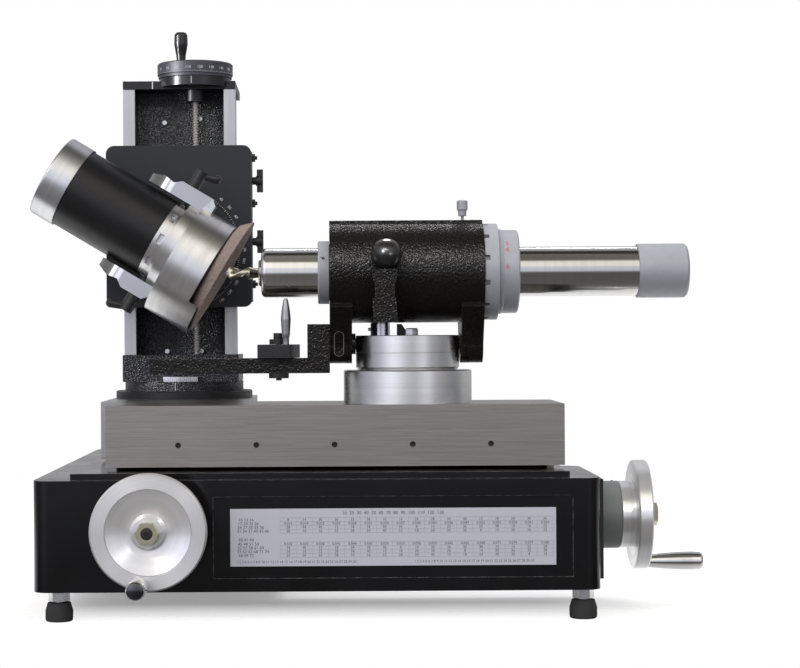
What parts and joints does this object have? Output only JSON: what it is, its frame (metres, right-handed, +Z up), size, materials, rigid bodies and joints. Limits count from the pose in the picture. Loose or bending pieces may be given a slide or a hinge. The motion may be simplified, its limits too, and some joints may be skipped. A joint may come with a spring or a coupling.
{
  "type": "tool and cutter grinder",
  "caption": "Bench grinder for tools and cutters, with a tilting motor head on a swivelling column and an indexing work spindle on a cross table.",
  "frame": {"origin": "middle of the machine's footprint, on the bench", "axes": "+X along the table to the right, +Y from the front face to the rear, +Z up"},
  "size_m": [0.7181, 0.7006, 0.6329],
  "materials": {
    "black_paint": "gloss black enamel",
    "hammer_paint": "hammered black brown paint",
    "chart_print": "printed aluminium plate",
    "foot_rubber": "matt black rubber",
    "bright_steel": "zinc plated",
    "ground_steel": "ground steel",
    "collar_grey": "grey enamel on a black flange",
    "turned_steel": "turned steel",
    "turned_aluminium": "turned aluminium",
    "plated_nut": "yellow zinc plated",
    "chrome": "polished chrome",
    "bronze": "machined bronze",
    "dark_steel": "blackened steel",
    "black_plastic": "polished black plastic",
    "ring_steel": "satin chromed steel",
    "cap_steel": "anodised aluminium",
    "dial_enamel": "dark blue grey enamel with plain numbers",
    "charcoal_paint": "charcoal enamel",
    "motor_paint": "black enamel",
    "guard_metal": "cast and turned aluminium",
    "abrasive": "pink brown abrasive"
  },
  "bodies": {
    "base": {"base_casting": "black_paint", "chart_plate": "chart_print", "foot_pads": "foot_rubber", "foot_studs": "bright_steel", "x_way": "ground_steel", "y_way": "ground_steel", "x_feed_collar": "collar_grey", "y_feed_collar": "collar_grey"},
    "x_feed": {"x_leadscrew": "turned_steel", "x_handwheel": "turned_aluminium", "x_wheel_nut": "plated_nut"},
    "x_grip": {"x_handle": "chrome"},
    "y_feed": {"y_leadscrew": "turned_steel", "y_handwheel": "turned_aluminium", "y_wheel_nut": "plated_nut"},
    "y_grip": {"y_handle": "chrome"},
    "table": {"table": "ground_steel", "x_gib": "dark_steel", "x_feed_nut": "bronze", "workhead_base": "turned_steel"},
    "swivel": {"swivel_head": "turned_steel", "swivel_stops": "bright_steel"},
    "yoke": {"workhead_body": "hammer_paint", "yoke_pivots": "dark_steel", "ball_knob": "black_plastic", "rest_bar": "dark_steel"},
    "sleeve": {"front_collar": "ring_steel", "index_ring": "ring_steel", "number_ring": "ring_steel"},
    "spindle": {"spindle_tube": "turned_steel", "collet": "ground_steel", "end_mill": "turned_steel", "spindle_cap": "cap_steel"},
    "index_pin": {"index_pin": "bright_steel"},
    "rest_slide": {"rest_bolt": "dark_steel"},
    "rest_head": {"rest_block": "dark_steel", "rest_finger": "turned_steel"},
    "saddle": {"y_saddle": "ground_steel", "y_gib": "dark_steel", "y_feed_nut": "bronze", "column_flange": "black_paint"},
    "column": {"column_casting": "hammer_paint", "column_ways": "ring_steel", "column_cap": "black_paint"},
    "z_feed": {"z_leadscrew": "turned_steel", "z_dial": "dial_enamel"},
    "z_grip": {"z_knob": "black_plastic"},
    "z_slide": {"z_plate": "charcoal_paint", "z_keepers": "dark_steel"},
    "lock_upper": {"z_lock_upper": "black_plastic"},
    "lock_lower": {"z_lock_lower": "black_plastic"},
    "head": {"tilt_bracket": "charcoal_paint", "motor_body": "motor_paint", "motor_cap": "cap_steel", "motor_flange": "cap_steel"},
    "rotor": {"motor_shaft": "turned_steel", "grinding_wheel": "abrasive"},
    "guard": {"wheel_guard": "guard_metal"},
    "lever_upper": {"guard_lever_upper": "black_plastic"},
    "lever_lower": {"guard_lever_lower": "black_plastic"}
  },
  "joints": [
    {"name": "table_slide", "type": "slide", "parent": "base", "child": "table", "axis": [1, 0, 0], "range_m": [-0.02, 0.075]},
    {"name": "table_handwheel_turn", "type": "hinge", "parent": "base", "child": "x_feed", "pos_m": [0.23902, -0.1177, 0.097], "axis": [1, 0, 0], "range_deg": [-1801, 6751]},
    {"name": "table_handle_spin", "type": "hinge", "parent": "x_feed", "child": "x_grip", "pos_m": [0.27082, -0.1177, 0.0475], "axis": [1, 0, 0], "continuous": true},
    {"name": "column_slide", "type": "slide", "parent": "base", "child": "saddle", "axis": [0, 1, 0], "range_m": [-0.018, 0.1]},
    {"name": "column_handwheel_turn", "type": "hinge", "parent": "base", "child": "y_feed", "pos_m": [-0.20998, -0.2297, 0.097], "axis": [0, 1, 0], "range_deg": [-1621, 9001]},
    {"name": "column_handle_spin", "type": "hinge", "parent": "y_feed", "child": "y_grip", "pos_m": [-0.21687, -0.2615, 0.04798], "axis": [0, 1, 0], "continuous": true},
    {"name": "workhead_swivel", "type": "hinge", "parent": "table", "child": "swivel", "pos_m": [0.04962, -0.1177, 0.2512], "axis": [0, 0, 1], "range_deg": [-15, 90]},
    {"name": "workhead_rock", "type": "hinge", "parent": "swivel", "child": "yoke", "pos_m": [0.04962, -0.1177, 0.2786], "axis": [1, 0, 0], "range_deg": [0, 20]},
    {"name": "spindle_index", "type": "hinge", "parent": "yoke", "child": "sleeve", "pos_m": [0.12867, -0.1177, 0.354], "axis": [1, 0, 0], "continuous": true},
    {"name": "spindle_slide", "type": "slide", "parent": "sleeve", "child": "spindle", "axis": [1, 0, 0], "range_m": [-0.02, 0.045]},
    {"name": "index_pin_pull", "type": "slide", "parent": "yoke", "child": "index_pin", "axis": [0, 0, 1], "range_m": [0, 0.0045], "stiffness_N_per_m": 300, "springref_m": -0.004},
    {"name": "tooth_rest_slide", "type": "slide", "parent": "yoke", "child": "rest_slide", "axis": [1, 0, 0], "range_m": [-0.1, 0.004]},
    {"name": "tooth_rest_turn", "type": "hinge", "parent": "rest_slide", "child": "rest_head", "pos_m": [-0.08588, -0.1317, 0.2645], "axis": [0, 0, 1], "range_deg": [-30, 30]},
    {"name": "column_swivel", "type": "hinge", "parent": "saddle", "child": "column", "pos_m": [-0.20298, 0.1153, 0.2252], "axis": [0, 0, 1], "range_deg": [-60, 4]},
    {"name": "vertical_slide", "type": "slide", "parent": "column", "child": "z_slide", "axis": [0, 0, 1], "range_m": [-0.045, 0.06]},
    {"name": "dial_turn", "type": "hinge", "parent": "column", "child": "z_feed", "pos_m": [-0.18548, 0.0733, 0.5836], "axis": [0, 0, 1], "range_deg": [-8101, 10801]},
    {"name": "dial_knob_spin", "type": "hinge", "parent": "z_feed", "child": "z_grip", "pos_m": [-0.19951, 0.04454, 0.6006], "axis": [0, 0, 1], "continuous": true},
    {"name": "upper_lock_turn", "type": "hinge", "parent": "z_slide", "child": "lock_upper", "pos_m": [-0.12033, 0.0633, 0.4654], "axis": [1, 0, 0], "range_deg": [0, 90]},
    {"name": "lower_lock_turn", "type": "hinge", "parent": "z_slide", "child": "lock_lower", "pos_m": [-0.12033, 0.0633, 0.3958], "axis": [1, 0, 0], "range_deg": [0, 90]},
    {"name": "head_tilt", "type": "hinge", "parent": "z_slide", "child": "head", "pos_m": [-0.20298, -0.0397, 0.3857], "axis": [0, 1, 0], "range_deg": [-61, 44]},
    {"name": "wheel_spin", "type": "hinge", "parent": "head", "child": "rotor", "pos_m": [-0.20298, -0.0397, 0.3857], "axis": [0.8572, 0, -0.515], "continuous": true},
    {"name": "guard_turn", "type": "hinge", "parent": "head", "child": "guard", "pos_m": [-0.20298, -0.0397, 0.3857], "axis": [0.8572, 0, -0.515], "range_deg": [-30, 30]},
    {"name": "upper_clamp_turn", "type": "hinge", "parent": "guard", "child": "lever_upper", "pos_m": [-0.18451, -0.0397, 0.4446], "axis": [-0.515, 0, -0.8572], "range_deg": [-40, 40]},
    {"name": "lower_clamp_turn", "type": "hinge", "parent": "guard", "child": "lever_lower", "pos_m": [-0.24246, -0.0397, 0.33942], "axis": [-0.515, 0, -0.8572], "range_deg": [-40, 40]}
  ],
  "couplings": [
    {"joint": "table_handwheel_turn", "follows": "table_slide", "rad_per_m": 1570.8},
    {"joint": "column_handwheel_turn", "follows": "column_slide", "rad_per_m": 1570.8},
    {"joint": "dial_turn", "follows": "vertical_slide", "rad_per_m": 3141.6}
  ]
}
